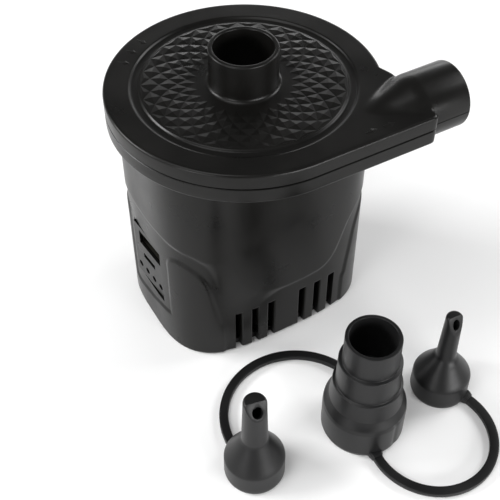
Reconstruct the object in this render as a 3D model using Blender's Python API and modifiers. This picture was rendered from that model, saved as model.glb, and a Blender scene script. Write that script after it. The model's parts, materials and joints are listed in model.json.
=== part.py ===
"""Electric air mattress pump: a rechargeable centrifugal blower with its set of tethered nozzles.

Frame: +Z up, the origin on the impeller's axis at the underside of the base, the outlet spout towards +X,
the cooling slots towards -Y, the charging ports towards -X and the switch towards +Y.
All the numbers below are in millimetres; MM turns them into metres.
"""
import math

import bmesh
import bpy
from mathutils import Vector

MM = 0.001
GAP = 0.3            # clearance between neighbouring solids

# --- blower head -------------------------------------------------------------------------------
RIM_R = 40.0         # radius of the round head
TOP_Z = 82.6         # top face of the head
SEAM_Z = 77.8        # split between the top cover and the main housing
RIM_Z = 72.8         # underside of the head
SHELL = 2.0          # wall of the head
FLOOR_T = 1.6        # floor of the head
FRONT_Y = -40.1      # flat front of the outlet duct
BLOCK_X = 39.2       # end face of the outlet duct
SPOUT_Y, SPOUT_Z = -28.3, 77.7
SPOUT_R, SPOUT_BORE, SPOUT_X = 9.8, 7.9, 52.0
HOOD_X, HOOD_R = 25.0, 4.9      # where the cone over the spout starts, and its radius there
COLLAR_R, COLLAR_BORE, COLLAR_Z = 10.0, 8.6, 94.4
GROOVE_IN, GROOVE_OUT, GROOVE_DEEP = 29.8, 32.4, 0.7

# --- body --------------------------------------------------------------------------------------
BODY_A, BODY_C, BODY_N = 35.0, 28.0, 3.35    # half width, half depth and exponent of the superellipse
WALL = 2.5
LEDGE_Z, LEDGE_IN = 70.3, 1.6
SLOT_W, SLOT_TOP = 2.2, 17.0
SLOT_X = (5.7, 11.4, 17.0)
BASE_T = 2.2
COLUMNS = ((-24.8, 18.0, 3.4), (-24.8, -18.0, 3.4), (13.0, 22.0, 3.4), (0.0, -22.4, 3.4))
COVER_SCREWS = ((17.0, 29.6), (-17.0, 29.6), (-17.0, -29.6))

# --- charging ports ----------------------------------------------------------------------------
PORT_X, PORT_Y, PORT_TURN = -34.35, -0.15, math.radians(4.0)
PANEL_W, PANEL_Z0, PANEL_Z1 = 17.0, 15.6, 37.1
USB_A_Z, MICRO_Z, LED_Z = 32.5, 25.5, 19.2
USB_A_Y, MICRO_Y = -0.9, 0.1
LED_Y = (6.2, 2.1, -2.1, -6.2)

# --- drive -------------------------------------------------------------------------------------
MOTOR_R, MOTOR_Z0, MOTOR_Z1 = 13.85, 32.5, 70.3
SHAFT_R = 1.15
IMPELLER_R, BLADES = 24.4, 9
CELL_R, CELL_Z0, CELL_Z1 = 9.2, 4.5, 69.6
CELLS = ((22.3, 9.4), (22.3, -9.4))
SWITCH_Z, PIVOT_Y, TILT = 45.0, 26.4, math.radians(10)

# --- nozzle set --------------------------------------------------------------------------------
ADAPTER_X, ADAPTER_Y, ADAPTER_R, ADAPTER_H = 1.4, -69.5, 12.4, 41.5
RIGHT_X, RIGHT_Y = 29.7, -70.5
LEFT_X, LEFT_Y = -34.8, -67.3
TIP_R, TIP_H = 8.9, 34.5
WINDOW_DROP, WINDOW_HALF = 2.8, 1.9
STRAP_W, STRAP_T = 2.8, 1.7
RIGHT_LOOP = (16.4, -84.7, 18.4)
LEFT_LOOP = (-14.4, -58.2, 22.5)

for old in list(bpy.data.objects):
    bpy.data.objects.remove(old, do_unlink=True)

parts = bpy.data.collections.new("electric_air_pump")
cutters = bpy.data.collections.new("cutters")
bpy.context.scene.collection.children.link(parts)
bpy.context.scene.collection.children.link(cutters)


def material(name, colour, roughness, metallic=0.0):
    m = bpy.data.materials.new(name)
    m.use_nodes = True
    s = m.node_tree.nodes["Principled BSDF"]
    s.inputs["Base Color"].default_value = (*colour, 1)
    s.inputs["Roughness"].default_value = roughness
    s.inputs["Metallic"].default_value = metallic
    return m


ABS = material("black_abs", (0.022, 0.021, 0.020), 0.38)
ABS_IN = material("black_abs_inner", (0.03, 0.03, 0.03), 0.5)
PVC = material("soft_black_pvc", (0.035, 0.035, 0.035), 0.55)
STEEL = material("zinc_plated_steel", (0.55, 0.55, 0.54), 0.35, 1.0)
PLATING = material("dull_plating", (0.10, 0.095, 0.085), 0.45, 1.0)
BRONZE = material("sintered_bronze", (0.45, 0.30, 0.14), 0.4, 1.0)
COPPER = material("copper", (0.72, 0.38, 0.2), 0.35, 1.0)
FERRITE = material("ferrite", (0.05, 0.05, 0.055), 0.7)
LAMINATE = material("laminated_steel", (0.3, 0.3, 0.31), 0.45, 1.0)
WHITE = material("white_nylon", (0.75, 0.75, 0.72), 0.5)
CELL = material("cell_sleeve", (0.05, 0.25, 0.45), 0.35)
NICKEL = material("nickel", (0.6, 0.58, 0.52), 0.3, 1.0)
BOARD = material("circuit_board", (0.02, 0.16, 0.07), 0.5)
CHIP = material("chip_black", (0.02, 0.02, 0.02), 0.4)
CLEAR = material("smoked_lens", (0.08, 0.08, 0.085), 0.15)
GOLD = material("gold_contacts", (0.8, 0.55, 0.2), 0.3, 1.0)
RED = material("red_wire", (0.5, 0.02, 0.02), 0.5)
DARK = material("black_wire", (0.02, 0.02, 0.02), 0.5)


def add(name, mesh, mat=None, at=(0, 0, 0), turn=(0, 0, 0), parent=None):
    o = bpy.data.objects.new(name, mesh)
    o.location = Vector(at) * MM
    o.rotation_euler = turn
    o.parent = parent
    if mat is None:
        cutters.objects.link(o)
        o.hide_render = True
        o.display_type = "WIRE"
    else:
        parts.objects.link(o)
        mesh.materials.clear()
        mesh.materials.append(mat)
    return o


def empty(name, at, turn=(0, 0, 0)):
    o = bpy.data.objects.new(name, None)
    o.location = Vector(at) * MM
    o.rotation_euler = turn
    parts.objects.link(o)
    return o


def smooth(o, degrees=30):
    o.data.shade_smooth()
    o.data.set_sharp_from_angle(angle=math.radians(degrees))
    return o


def box(name, lo, hi, mat=None, parent=None, turn=(0, 0, 0)):
    bm = bmesh.new()
    bmesh.ops.create_cube(bm, size=1.0)
    for v in bm.verts:
        v.co = Vector(v.co[i] * (hi[i] - lo[i]) * MM for i in range(3))
    mesh = bpy.data.meshes.new(name)
    bm.to_mesh(mesh)
    bm.free()
    return add(name, mesh, mat, [(lo[i] + hi[i]) / 2 for i in range(3)], turn, parent)


def rod(name, r, a, b, at=(0, 0), axis="Z", mat=None, parent=None, segments=32, r2=None):
    """A cylinder, or a cone from r to r2, between a and b along its axis. at holds the other two coordinates."""
    bm = bmesh.new()
    bmesh.ops.create_cone(bm, cap_ends=True, segments=segments, radius1=r * MM,
                          radius2=(r if r2 is None else r2) * MM, depth=(b - a) * MM)
    mesh = bpy.data.meshes.new(name)
    bm.to_mesh(mesh)
    bm.free()
    mid = (a + b) / 2
    place, turn = {"Z": ((at[0], at[1], mid), (0, 0, 0)),
                   "X": ((mid, at[0], at[1]), (0, math.pi / 2, 0)),
                   "Y": ((at[0], mid, at[1]), (-math.pi / 2, 0, 0))}[axis]
    return smooth(add(name, mesh, mat, place, turn, parent))


def turned(name, profile, mat=None, at=(0, 0, 0), closed=False, steps=32, parent=None, turn=(0, 0, 0)):
    """A turned shape. The profile of (radius, height) runs down its outer side."""
    mesh = bpy.data.meshes.new(name)
    n = len(profile)
    edges = [(i, i + 1) for i in range(n - 1)] + ([(n - 1, 0)] if closed else [])
    mesh.from_pydata([(r * MM, 0, z * MM) for r, z in profile], edges, [])
    o = add(name, mesh, mat, at, turn, parent)
    s = o.modifiers.new("turn", "SCREW")
    s.angle, s.screw_offset, s.axis = math.tau, 0, "Z"
    s.steps = s.render_steps = steps
    s.use_merge_vertices, s.merge_threshold = True, 0.00001
    s.use_smooth_shade = False
    return o


def prism(name, loops, z0, z1, mat=None, parent=None, at=(0, 0, 0), turn=(0, 0, 0)):
    """A flat outline, with holes where loops lie inside each other, extruded from z0 to z1 and kept as a mesh."""
    curve = bpy.data.curves.new(name + "_outline", "CURVE")
    curve.dimensions, curve.fill_mode, curve.extrude = "2D", "BOTH", (z1 - z0) / 2 * MM
    for loop in loops:
        s = curve.splines.new("POLY")
        s.points.add(len(loop) - 1)
        for p, (x, y) in zip(s.points, loop):
            p.co = (x * MM, y * MM, 0, 1)
        s.use_cyclic_u = True
    o = bpy.data.objects.new(name + "_outline", curve)
    bpy.context.scene.collection.objects.link(o)
    bpy.context.view_layer.update()
    mesh = bpy.data.meshes.new_from_object(o.evaluated_get(bpy.context.evaluated_depsgraph_get()))
    bpy.data.objects.remove(o, do_unlink=True)
    bm = bmesh.new()
    bm.from_mesh(mesh)
    bmesh.ops.remove_doubles(bm, verts=bm.verts, dist=1e-6)
    for v in bm.verts:
        v.co.z += (z0 + z1) / 2 * MM
    bmesh.ops.recalc_face_normals(bm, faces=bm.faces)
    bm.to_mesh(mesh)
    bm.free()
    mesh.name = name
    return smooth(add(name, mesh, mat, at, turn, parent))


def tube(name, route, r, mat):
    """A wire on a smooth curve through the route's points, with round ends capped."""
    pts = []
    for i in range(len(route) - 1):
        p0, p1, p2, p3 = (Vector(route[max(0, min(len(route) - 1, i + k))]) for k in (-1, 0, 1, 2))
        for j in range(4):
            t = j / 4
            pts.append(0.5 * ((2 * p1) + (p2 - p0) * t + (2 * p0 - 5 * p1 + 4 * p2 - p3) * t ** 2
                              + (3 * p1 - p0 - 3 * p2 + p3) * t ** 3))
    pts.append(Vector(route[-1]))
    curve = bpy.data.curves.new(name, "CURVE")
    curve.dimensions, curve.bevel_depth, curve.bevel_resolution, curve.use_fill_caps = "3D", r * MM, 2, True
    s = curve.splines.new("POLY")
    s.points.add(len(pts) - 1)
    for p, q in zip(s.points, pts):
        p.co = (*(q * MM), 1)
    o = bpy.data.objects.new(name, curve)
    curve.materials.append(mat)
    parts.objects.link(o)
    return o


def boolean(o, other, operation):
    m = o.modifiers.new(other.name, "BOOLEAN")
    m.operation, m.object, m.solver = operation, other, "EXACT"
    return o


def cut(o, *others):
    for other in others:
        boolean(o, other, "DIFFERENCE")
    return o


def fuse(o, *others):
    for other in others:
        boolean(o, other, "UNION")
    return o


def head_outline(inset, n=52):
    """The round head with its outlet duct: an arc from behind the duct round to the front, then the duct's flat front and end."""
    r = RIM_R - inset
    first, last = math.radians(-19.5), math.radians(270)
    pts = [(r * math.cos(first + (last - first) * i / n), r * math.sin(first + (last - first) * i / n)) for i in range(n + 1)]
    x, y = BLOCK_X - inset, FRONT_Y + inset
    corner = 1.2
    pts += [(x - corner, y), (x - 0.35 * corner, y + 0.35 * corner), (x, y + corner)]
    notch = r * math.sin(first)
    pts += [(x, notch - 5.6), (x - 0.2, notch - 3.6), (x - 0.9, notch - 1.9)]
    return pts


def body_outline(inset, n=44, keep=lambda x, y: True):
    """The superellipse of the body, inset by a wall."""
    a, c, e = BODY_A - inset, BODY_C - inset, 2 / BODY_N
    pts = []
    for i in range(n):
        t = math.tau * (i + 0.5) / n
        x = a * math.copysign(abs(math.cos(t)) ** e, math.cos(t))
        y = c * math.copysign(abs(math.sin(t)) ** e, math.sin(t))
        if keep(x, y):
            pts.append((x, y))
    return pts


def circle(x, y, r, n=32):
    return [(x + r * math.cos(math.tau * i / n), y + r * math.sin(math.tau * i / n)) for i in range(n)]


def hood_radius(x):
    return HOOD_R + (SPOUT_R - HOOD_R) * (x - HOOD_X) / (BLOCK_X - HOOD_X)


# ------------------------------------------------------------------------------ air path cutters
def bore_cutter(tag):
    """The air passage: a cone inside the hood that opens into the spout's bore."""
    tip = HOOD_X - 6
    return turned(tag + "_bore", [(0, SPOUT_X + 2), (SPOUT_BORE, SPOUT_X + 2), (SPOUT_BORE, BLOCK_X), (hood_radius(tip) - 2, tip), (0, tip)],
                  at=(0, SPOUT_Y, SPOUT_Z), turn=(0, math.pi / 2, 0))


def spout_solid(tag):
    """The hood's cone and the round spout that it runs into."""
    tip = HOOD_X - 2
    return turned(tag + "_spout", [(0, SPOUT_X), (SPOUT_R, SPOUT_X), (SPOUT_R, BLOCK_X), (hood_radius(tip), tip), (0, tip)],
                  at=(0, SPOUT_Y, SPOUT_Z), turn=(0, math.pi / 2, 0))


# ------------------------------------------------------------------------------ top cover
top_cover = prism("top_cover", [head_outline(0)], SEAM_Z + GAP / 2, TOP_Z, ABS)
fuse(top_cover, rod("collar_solid", COLLAR_R, TOP_Z - 1, COLLAR_Z, segments=48), spout_solid("cover"))
cut(top_cover, box("below_seam", (10, -60, 50), (70, -10, SEAM_Z + GAP / 2)),
    prism("cover_hollow", [head_outline(SHELL)], SEAM_Z - 1, TOP_Z - SHELL))
for i, (x, y) in enumerate(COVER_SCREWS, 1):
    fuse(top_cover, rod(f"cover_boss_{i}", 2.6, RIM_Z + FLOOR_T + GAP, TOP_Z - SHELL + 0.3, (x, y), segments=20))
for i, (x, y) in enumerate(COVER_SCREWS, 1):
    cut(top_cover, rod(f"cover_pilot_{i}", 1.3, RIM_Z, TOP_Z - SHELL - 1, (x, y), segments=12))
cut(top_cover, bore_cutter("cover"), rod("inlet_bore", COLLAR_BORE, TOP_Z - 8, COLLAR_Z + 2, segments=48),
    turned("groove", [(GROOVE_OUT, TOP_Z + 1), (GROOVE_OUT, TOP_Z - GROOVE_DEEP), (GROOVE_IN, TOP_Z - GROOVE_DEEP),
                      (GROOVE_IN, TOP_Z + 1)], closed=True, steps=48))

# ------------------------------------------------------------------------------ main housing
main_housing = prism("main_housing", [head_outline(0)], RIM_Z, SEAM_Z - GAP / 2, ABS)
fuse(main_housing, prism("body_solid", [body_outline(0)], 0, RIM_Z + 0.8), spout_solid("housing"))
cut(main_housing, box("above_seam", (10, -60, SEAM_Z - GAP / 2), (70, -10, 100)),
    prism("head_hollow", [head_outline(SHELL)], RIM_Z + FLOOR_T, SEAM_Z + 1),
    prism("body_hollow", [body_outline(WALL)], -1, LEDGE_Z + 0.5),
    prism("ledge_hollow", [body_outline(LEDGE_IN)], LEDGE_Z, RIM_Z + 4))
for i, (x, y, r) in enumerate(COLUMNS, 1):
    fuse(main_housing, rod(f"column_{i}", r, BASE_T + GAP, LEDGE_Z - 0.1, (x, y), segments=24))
cut(main_housing, bore_cutter("housing"))
for i, (x, y, r) in enumerate(COLUMNS, 1):
    cut(main_housing, rod(f"column_pilot_{i}", 1.3, 1, 12, (x, y), segments=12))
for i, (x, y, r) in enumerate(COLUMNS[2:], 1):
    cut(main_housing, rod(f"divider_pilot_{i}", 1.3, 60, LEDGE_Z + 2, (x, y), segments=12))
for i, (x, y) in enumerate(COVER_SCREWS, 1):
    cut(main_housing, rod(f"floor_hole_{i}", 1.35, RIM_Z - 1, RIM_Z + 3, (x, y), segments=12))
for i, x in enumerate([s * v for s in (-1, 1) for v in SLOT_X], 1):
    cut(main_housing, box(f"slot_{i}", (x - SLOT_W / 2, -31, -1), (x + SLOT_W / 2, -24.6, SLOT_TOP)))
port = empty("port_datum", (PORT_X, PORT_Y, 0), (0, 0, PORT_TURN))
cut(main_housing,
    box("port_window", (-3, -PANEL_W / 2 - GAP, PANEL_Z0 - 0.6), (6, PANEL_W / 2 + 0.9, PANEL_Z1 + GAP), parent=port),
    box("switch_window", (-4.4, 24, SWITCH_Z - 6.7), (4.4, 30, SWITCH_Z + 6.7)))

# ------------------------------------------------------------------------------ base plate and screws
base_plate = prism("base_plate", [body_outline(WALL + GAP)], 0, BASE_T, ABS)
for i, (x, y, r) in enumerate(COLUMNS, 1):
    cut(base_plate, turned(f"base_recess_{i}", [(0, BASE_T + 1), (1.35, BASE_T + 1), (1.35, 1.5), (2.3, 1.5), (2.3, -1), (0, -1)],
                           at=(x, y, 0), steps=14))


def screw(name, x, y, head_z, tip_z, head_r, cross=True, mat=STEEL):
    """A cross-head screw: its head at head_z, its tip at tip_z above or below it."""
    up = 1 if tip_z > head_z else -1
    under = head_z + up * 1.1
    shank = 1.0
    prof = [(0, tip_z), (shank * 0.5, tip_z), (shank, tip_z - up * 0.8), (shank, under), (head_r, under),
            (head_r, head_z + up * 0.3), (head_r - 0.4, head_z), (0, head_z)]
    if up < 0:
        prof.reverse()
    o = turned(name, prof, mat, at=(x, y, 0), steps=10)
    for k, (w, d) in enumerate(((2.0, 0.5), (0.5, 2.0)) if cross else ()):
        cut(o, box(f"{name}_cross_{k}", (x - w / 2, y - d / 2, min(head_z - up, head_z + up * 0.6)),
                   (x + w / 2, y + d / 2, max(head_z - up, head_z + up * 0.6))))
    return o


for i, (x, y, r) in enumerate(COLUMNS, 1):
    screw(f"base_screw_{i}", x, y, 0.1, 11.0, 2.0)
for i, (x, y) in enumerate(COVER_SCREWS, 1):
    screw(f"cover_screw_{i}", x, y, RIM_Z - GAP - 1.1, TOP_Z - 4.0, 2.0)

# ------------------------------------------------------------------------------ inlet guard and gasket
inlet_guard = prism("inlet_guard", [circle(0, 0, COLLAR_BORE - GAP, 32), circle(0, 0, COLLAR_BORE - 1.4, 32)], TOP_Z - 1.9, TOP_Z - 0.5, ABS_IN)
fuse(inlet_guard, rod("guard_hub", 2.2, TOP_Z - 1.85, TOP_Z - 0.55, segments=24),
     *[box(f"guard_bar_{i}", (-7.8, -0.5, TOP_Z - 1.8), (7.8, 0.5, TOP_Z - 0.6), turn=(0, 0, math.pi * i / 3)) for i in range(3)])

gasket = prism("cover_gasket", [head_outline(SHELL + 0.25, 36), head_outline(SHELL + 0.9, 36)], SEAM_Z - 1.4, SEAM_Z + 1.4, PVC)
cut(gasket, rod("gasket_mouth", SPOUT_BORE + 0.8, 30, 42, (SPOUT_Y, SPOUT_Z), "X"))

# ------------------------------------------------------------------------------ divider plate
divider_plate = prism("divider_plate", [body_outline(LEDGE_IN + GAP)], LEDGE_Z + GAP, LEDGE_Z + GAP + 1.2, ABS_IN)
fuse(divider_plate, rod("divider_pad", 12.0, LEDGE_Z + 0.8, LEDGE_Z + 2.7))
cut(divider_plate, rod("divider_hub_hole", 3.6, 60, 80, segments=32),
    *[turned(f"motor_screw_seat_{i}", [(0, 80), (2.4, 80), (2.4, 71.7), (1.6, 71.7), (1.6, 60), (0, 60)], at=(x, 0, 0), steps=14)
      for i, x in enumerate((-8, 8), 1)],
    *[rod(f"divider_hole_{i}", 1.35, 60, 80, (x, y), segments=16) for i, (x, y, r) in enumerate(COLUMNS[2:], 1)])
for i, x in enumerate((-8, 8), 1):
    screw(f"motor_screw_{i}", x, 0, 73.1, 66.5, 2.1, cross=False)
for i, (x, y, r) in enumerate(COLUMNS[2:], 1):
    screw(f"divider_screw_{i}", x, y, LEDGE_Z + 2.9, 62.0, 2.1, cross=False)

# ------------------------------------------------------------------------------ motor
motor_can = turned("motor_can", [(3.2, 72.6), (3.2, MOTOR_Z1), (MOTOR_R - 0.6, MOTOR_Z1), (MOTOR_R, MOTOR_Z1 - 0.6),
                                 (MOTOR_R, MOTOR_Z0), (MOTOR_R - 1, MOTOR_Z0), (MOTOR_R - 1, MOTOR_Z1 - 1.2),
                                 (2.9, MOTOR_Z1 - 1.2), (2.9, 72.6)], STEEL, closed=True)
cut(motor_can, *[rod(f"motor_tap_{i}", 1.3, 60, 75, (x, 0), segments=12) for i, x in enumerate((-8, 8), 1)])
turned("motor_end_cap", [(12.55, 33.5), (12.55, 31.5), (4.4, 31.5), (4.4, 28.6), (2.9, 28.6), (2.9, 33.5)], WHITE, closed=True)
turned("front_bearing", [(2.6, 72.3), (2.6, 69.4), (1.45, 69.4), (1.45, 72.3)], BRONZE, closed=True, steps=20)
turned("rear_bearing", [(2.6, 33.2), (2.6, 28.9), (1.45, 28.9), (1.45, 33.2)], BRONZE, closed=True, steps=20)
for i, side in enumerate((0, math.pi), 1):
    inner = [(10.2 * math.cos(side + a), 10.2 * math.sin(side + a)) for a in [math.radians(-60 + 10 * k) for k in range(13)]]
    outer = [(12.5 * math.cos(side + a), 12.5 * math.sin(side + a)) for a in [math.radians(60 - 10 * k) for k in range(13)]]
    prism(f"field_magnet_{i}", [inner + outer], 42, 64, FERRITE)
for i, x in enumerate((-9, 9), 1):
    box(f"motor_terminal_{i}", (x - 0.3, -1.1, 27.2), (x + 0.3, 1.1, 31.2), COPPER)

# ------------------------------------------------------------------------------ rotor
rotor = empty("impeller_axis", (0, 0, 75))
turned("motor_shaft", [(0, 78.9), (SHAFT_R - 0.2, 78.9), (SHAFT_R, 78.7), (SHAFT_R, 28.7), (SHAFT_R - 0.2, 28.5), (0, 28.5)], STEEL, at=(0, 0, -75), steps=16, parent=rotor)
poles = []
for k in range(5):
    c = math.tau * k / 5
    for a, r in ((-27, 9.4), (-13, 9.4), (0, 9.4), (13, 9.4), (27, 9.4), (25, 7.9), (13, 7.4), (13, 4.9)):
        if r == 9.4 or a > 0:
            poles.append((r * math.cos(c + math.radians(a)), r * math.sin(c + math.radians(a))))
    nxt = math.tau * (k + 1) / 5
    for a, r in ((-13, 4.9), (-13, 7.4), (-25, 7.9)):
        poles.append((r * math.cos(nxt + math.radians(a)), r * math.sin(nxt + math.radians(a))))
prism("armature", [poles, circle(0, 0, 1.45, 24)], 43, 62, LAMINATE, parent=rotor, at=(0, 0, -75))
turned("commutator", [(3.6, 41), (3.6, 35), (1.45, 35), (1.45, 41)], COPPER, at=(0, 0, -75), closed=True, steps=24, parent=rotor)

impeller = turned("impeller", [(0, 80.2), (2.8, 80.2), (3.8, 79.4), (4.2, 76.0), (5.0, 74.8), (IMPELLER_R, 74.8), (IMPELLER_R, 73.6), (0, 73.6)],
                  WHITE, at=(0, 0, -75), steps=40, parent=rotor)
blades = []
for k in range(BLADES):
    side_a, side_b = [], []
    for j in range(6):
        t = j / 5
        r = 9.0 + (IMPELLER_R - 0.5 - 9.0) * t
        a = math.tau * k / BLADES - 0.75 * t ** 0.9
        half = 0.6 / r
        side_a.append((r * math.cos(a - half), r * math.sin(a - half)))
        side_b.append((r * math.cos(a + half), r * math.sin(a + half)))
    blades.append(side_a + side_b[::-1])
fuse(impeller, prism("impeller_blades", blades, 74.3, 79.9, parent=rotor, at=(0, 0, -75)))
cut(impeller, rod("impeller_hub_bore", SHAFT_R + GAP, 73.0 - 75, 79.2 - 75, segments=24, parent=rotor))

# ------------------------------------------------------------------------------ battery
for i, (x, y) in enumerate(CELLS, 1):
    turned(f"battery_cell_{i}", [(0, CELL_Z1), (2.9, CELL_Z1), (2.9, CELL_Z1 - 0.9), (8.3, CELL_Z1 - 0.9), (CELL_R, CELL_Z1 - 1.6), (CELL_R, CELL_Z0 + 0.4),
                                 (CELL_R - 0.4, CELL_Z0), (0, CELL_Z0)], CELL, at=(x, y, 0), steps=28)
tray = prism("cell_tray", [body_outline(WALL + GAP + 0.2, keep=lambda x, y: x > 12.6)], BASE_T + GAP, 8.0, ABS_IN)
cut(tray, *[rod(f"cell_cup_{i}", CELL_R + GAP, CELL_Z0 - GAP, 12, (x, y), segments=28) for i, (x, y) in enumerate(CELLS, 1)],
    rod("tray_column_clearance", COLUMNS[2][2] + GAP, 0, 12, COLUMNS[2][:2], segments=24))
box("cell_link", (20.3, -12.0, CELL_Z1 + GAP), (24.3, 12.0, CELL_Z1 + GAP + 0.25), NICKEL)

# ------------------------------------------------------------------------------ ports, board and lights
panel = box("port_panel", (0, -PANEL_W / 2, PANEL_Z0), (3.6, PANEL_W / 2, PANEL_Z1), ABS, parent=port)
fuse(panel, box("panel_flange", (3.3, -10.0, PANEL_Z0 - 1.6), (4.4, 10.0, PANEL_Z1 + 1.6), parent=port))
# the sockets sit in pockets behind a thin lip, so that only their mouths show
cut(panel, box("usb_a_hole", (-1, USB_A_Y - 6.3, USB_A_Z - 2.65), (2, USB_A_Y + 6.3, USB_A_Z + 2.65), parent=port),
    box("usb_a_pocket", (0.9, USB_A_Y - 6.85, USB_A_Z - 3.2), (6, USB_A_Y + 6.85, USB_A_Z + 3.2), parent=port),
    box("micro_usb_hole", (-1, MICRO_Y - 3.45, MICRO_Z - 0.95), (2, MICRO_Y + 3.45, MICRO_Z + 0.95), parent=port),
    box("micro_usb_pocket", (0.9, MICRO_Y - 4.1, MICRO_Z - 1.6), (6, MICRO_Y + 4.1, MICRO_Z + 1.6), parent=port),
    *[rod(f"led_hole_{i}", 1.1, -1, 6, (y, LED_Z), "X", parent=port, segments=16) for i, y in enumerate(LED_Y, 1)])
shell = box("usb_a_shell", (1.2, USB_A_Y - 6.5, USB_A_Z - 2.9), (13.8, USB_A_Y + 6.5, USB_A_Z + 2.9), PLATING, parent=port)
cut(shell, box("usb_a_mouth", (-1, USB_A_Y - 6.2, USB_A_Z - 2.6), (13.3, USB_A_Y + 6.2, USB_A_Z + 2.6), parent=port))
tongue = box("usb_a_tongue", (9.6, USB_A_Y - 5.9, USB_A_Z - 2.3), (13.0, USB_A_Y + 5.9, USB_A_Z + 2.3), ABS_IN, parent=port)
fuse(tongue, box("tongue_blade", (2.4, USB_A_Y - 5.5, USB_A_Z - 1.9), (10.0, USB_A_Y + 5.5, USB_A_Z - 0.1), parent=port))
micro = box("micro_usb_shell", (1.2, MICRO_Y - 3.8, MICRO_Z - 1.3), (13.8, MICRO_Y + 3.8, MICRO_Z + 1.3), PLATING, parent=port)
cut(micro, box("micro_usb_mouth", (-1, MICRO_Y - 3.5, MICRO_Z - 1.0), (5.6, MICRO_Y + 3.5, MICRO_Z + 1.0), parent=port))
for i, y in enumerate(LED_Y, 1):
    rod(f"light_pipe_{i}", 0.8, 0.7, 13.8, (y, LED_Z), "X", mat=CLEAR, parent=port, segments=16)
box("charger_board", (14.1, -14, 12), (15.7, 14, 44), BOARD, parent=port)
box("charger_chip", (16.0, -8, 36), (17.0, -3, 41), CHIP, parent=port)
box("boost_inductor", (16.0, -3, 14), (19.0, 3, 20), FERRITE, parent=port)

# ------------------------------------------------------------------------------ switch
switch_body = box("switch_body", (-5.4, BODY_C + GAP, SWITCH_Z - 7.6), (5.4, BODY_C + 2.0, SWITCH_Z + 7.6), ABS_IN)
fuse(switch_body, box("switch_barrel", (-4.1, 17.0, SWITCH_Z - 6.4), (4.1, BODY_C + 1.0, SWITCH_Z + 6.4)))
cut(switch_body, box("switch_pocket", (-3.4, 21.8, SWITCH_Z - 5.5), (3.4, 34, SWITCH_Z + 5.5)))
pivot = empty("switch_pivot", (0, PIVOT_Y, SWITCH_Z), (TILT, 0, 0))
half = [(2.5, 0.0), (2.7, 2.0), (3.6, 4.6), (3.2, 4.9), (0.9, 4.9), (-0.6, 2.9), (-2.2, 1.3), (-2.6, 0.0)]
rocker_side = [(z, y) for y, z in half] + [(-z, y) for y, z in half[-2:0:-1]]
# the side outline is drawn in X-Y as (z, y) and stood up so that it spans the pivot line along X
rocker = prism("switch_rocker", [rocker_side], -3.1, 3.1, ABS, parent=pivot, turn=(0, -math.pi / 2, 0))

# ------------------------------------------------------------------------------ internal wires
tube("battery_wire_red", [(12.2, -5.5, 5.5), (6, -6, 8.5), (-3, -7, 13), (-11, -8, 20), (-17.0, -8.3, 24)], 0.7, RED)
tube("battery_wire_black", [(12.2, 5.5, 5.5), (6, 6, 8.5), (-3, 7, 13), (-11, 8, 20), (-17.0, 7.6, 24)], 0.7, DARK)
tube("motor_wire_red", [(9.0, 0.0, 26.4), (6.5, -2.5, 23.5), (0, -4, 22), (-9, -3.5, 25), (-17.0, -3.0, 29)], 0.7, RED)
tube("switch_wire", [(0, 15.6, 43), (-3.5, 15.8, 41), (-9, 16.6, 37), (-14, 13.5, 33), (-17.0, 10.5, 31)], 0.7, DARK)

# ------------------------------------------------------------------------------ nozzle set
nozzles = empty("nozzle_set_datum", (ADAPTER_X, ADAPTER_Y, 0))


def along(loop, start, stop, n):
    x, y, r = loop
    return [(x + r * math.cos(start + (stop - start) * i / n), y + r * math.sin(start + (stop - start) * i / n)) for i in range(n + 1)]


def clear_of(loop, angle, step, centre, r):
    """The first angle round the loop that is r away from a nozzle's axis."""
    while True:
        x, y = loop[0] + loop[2] * math.cos(angle), loop[1] + loop[2] * math.sin(angle)
        if math.hypot(x - centre[0], y - centre[1]) >= r:
            return angle
        angle += step


def strap(name, loop, start, stop):
    x, y, r = loop
    rim = [along((x, y, r + s * STRAP_W / 2), start, stop, 40) for s in (1, -1)]
    pts = rim[0] + rim[1][::-1]
    return prism(name, [[(px - ADAPTER_X, py - ADAPTER_Y) for px, py in pts]], 0, STRAP_T, PVC, parent=nozzles)


def lug(name, loop, angle, sense, length):
    """The lug on a nozzle's skirt, in line with the end of its strap."""
    x, y = loop[0] + loop[2] * math.cos(angle), loop[1] + loop[2] * math.sin(angle)
    dx, dy = sense * math.sin(angle), -sense * math.cos(angle)      # away from the strap
    o = box(name, (-length / 2, -2.1, 0.0), (length / 2, 2.1, 2.4), parent=nozzles, turn=(0, 0, math.atan2(dy, dx)))
    o.location = Vector((x + dx * (GAP + length / 2) - ADAPTER_X, y + dy * (GAP + length / 2) - ADAPTER_Y, 1.25)) * MM
    return o


step = math.radians(0.1)
lugs = {}
for side, loop, tip, a0, a1 in (("right", RIGHT_LOOP, (RIGHT_X, RIGHT_Y), math.radians(165), math.radians(385)),
                                ("left", LEFT_LOOP, (LEFT_X, LEFT_Y), math.radians(-10), math.radians(195))):
    s = clear_of(loop, a0, step, (ADAPTER_X, ADAPTER_Y), ADAPTER_R + 1.3)
    e = clear_of(loop, a1, -step, tip, TIP_R + 1.3)
    strap("tether_" + side, loop, s, e)
    lugs[side] = (lug("adapter_lug_" + side, loop, s, 1, 3.0), lug("tip_lug_" + side, loop, e, -1, 2.3))

adapter = turned("stepped_adapter", [(8.0, ADAPTER_H), (8.2, 31.8), (9.2, 31.6), (9.4, 22.4), (10.2, 22.2), (10.8, 15.4), (12.2, 12.6), (ADAPTER_R, 11.0), (ADAPTER_R, 1.6),
                                     (11.8, 0.0), (10.0, 0.0), (10.0, 12.0), (8.4, 15.0), (8.2, 21.5), (7.4, 23.5), (7.0, 31.0), (6.9, ADAPTER_H)],
                  PVC, closed=True, parent=nozzles)
fuse(adapter, *[lugs[side][0] for side in lugs])


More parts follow.
